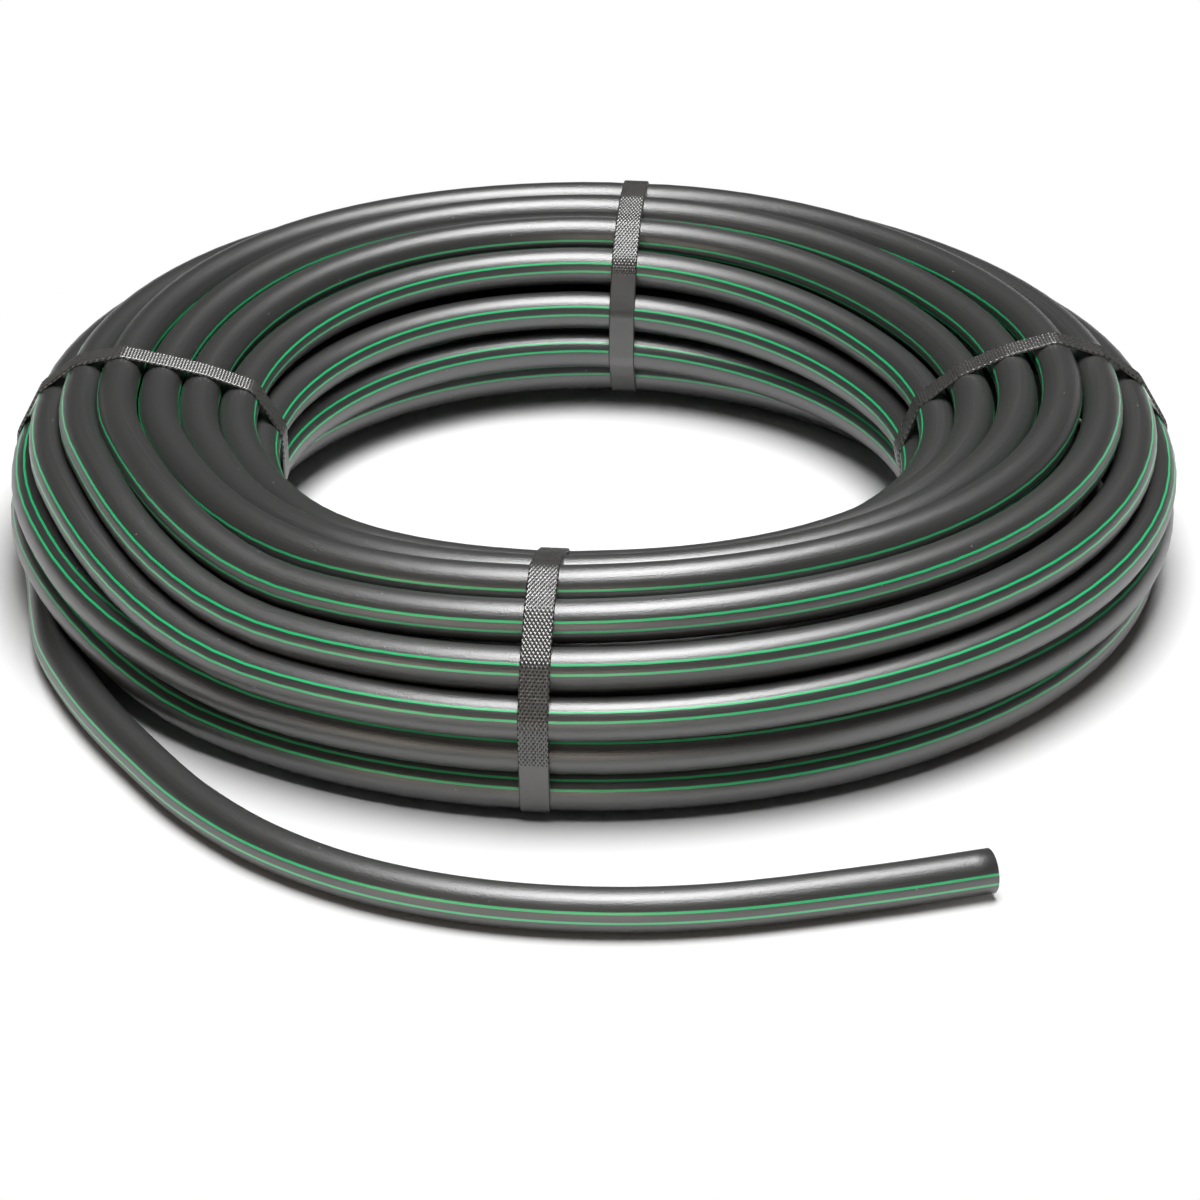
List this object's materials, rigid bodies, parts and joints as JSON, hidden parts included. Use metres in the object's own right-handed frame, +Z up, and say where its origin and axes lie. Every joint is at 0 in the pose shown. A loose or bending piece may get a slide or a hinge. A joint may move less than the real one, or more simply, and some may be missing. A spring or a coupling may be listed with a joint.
{
  "type": "coiled irrigation hose",
  "caption": "Coil of plain smooth polyethylene irrigation hose with an open cut end on a short loose tail, tied with flat woven-pattern straps.",
  "frame": {"origin": "on the floor, under the middle of the whole object's plan box", "axes": "+Z up along the coil's axis, +X to the right, -Y towards the tail's side"},
  "size_m": [0.4699, 0.541, 0.0845],
  "materials": {
    "hose": "satin extruded black polyethylene with thin green stripes",
    "strap": "embossed black polypropylene strapping with a raised diamond pattern"
  },
  "bodies": {
    "root": {"hose_coil": "hose", "inner_turns": "hose", "hose_tail": "hose", "hose_end": "hose", "strap_front": "strap", "strap_back": "strap", "strap_left": "strap", "strap_right": "strap"}
  },
  "joints": []
}
